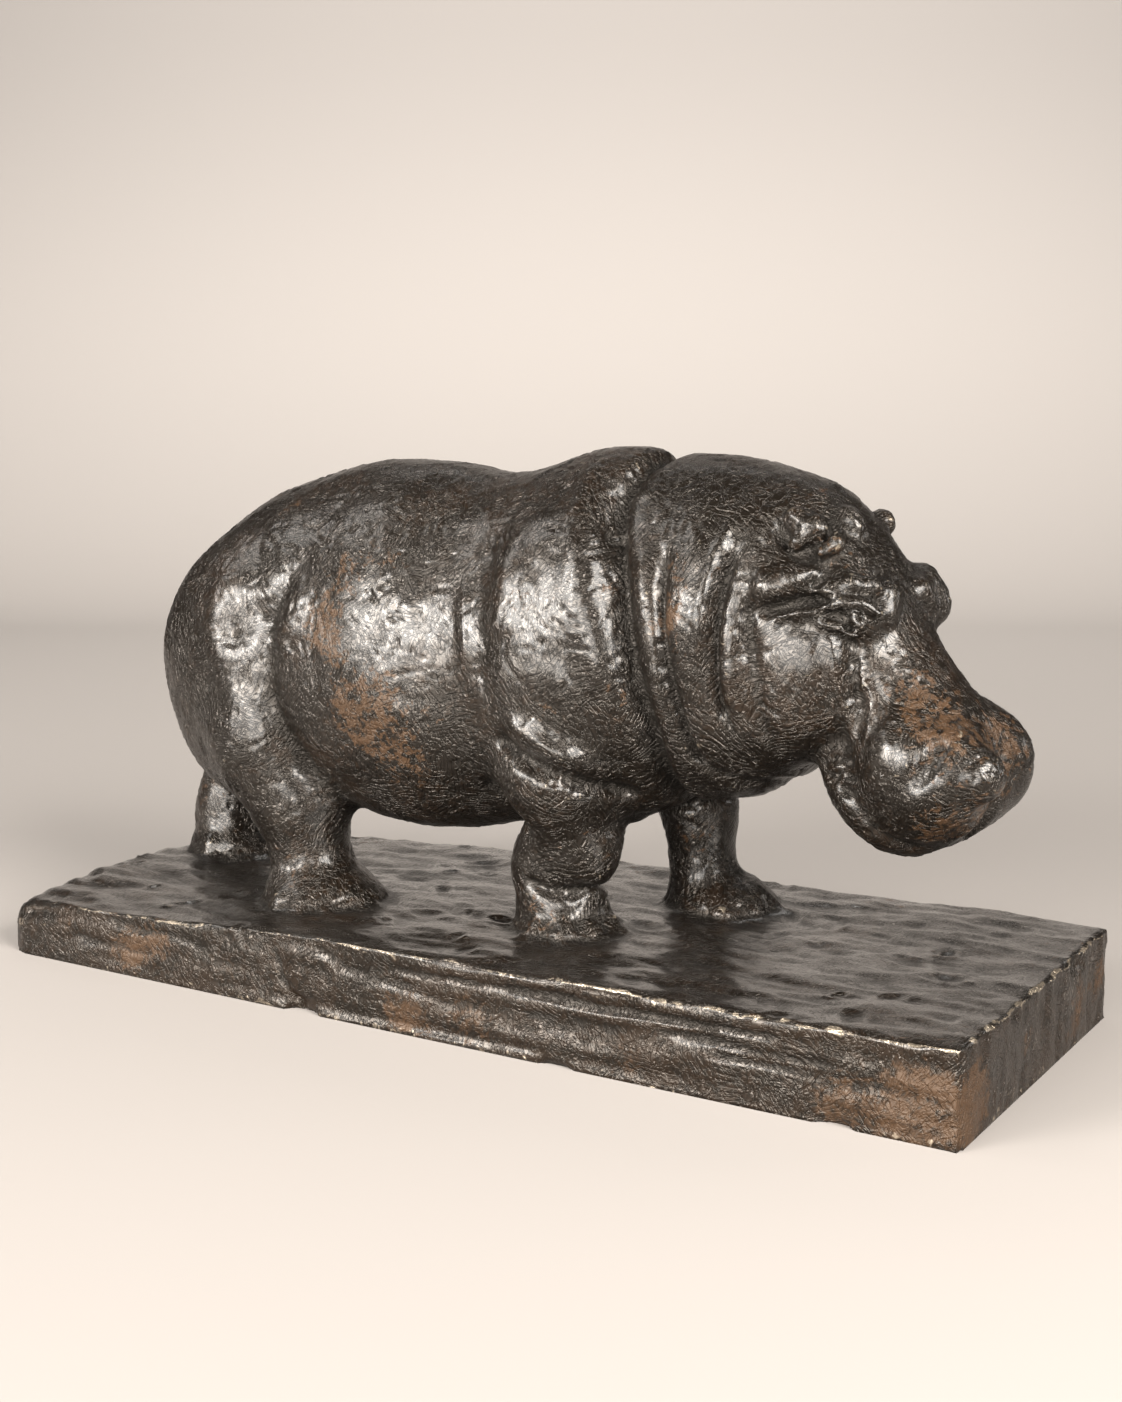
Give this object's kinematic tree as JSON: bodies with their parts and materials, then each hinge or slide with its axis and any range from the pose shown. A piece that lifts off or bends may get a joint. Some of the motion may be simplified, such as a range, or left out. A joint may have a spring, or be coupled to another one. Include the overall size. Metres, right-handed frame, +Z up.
{
  "type": "animal sculpture",
  "caption": "Cast bronze walking hippopotamus with deep neck folds and a lowered head, in one casting with its uneven block plinth.",
  "frame": {"origin": "centre of the bounding box's footprint, on the flat underside of the plinth", "axes": "+X the way the animal walks, +Y towards its left side, +Z up"},
  "size_m": [0.562, 0.211, 0.2827],
  "materials": {
    "bronze": "near-black brown patina on cast bronze, rubbed to ochre and pale metal on the edges"
  },
  "bodies": {
    "root": {"hippopotamus_on_plinth": "bronze"}
  },
  "joints": []
}
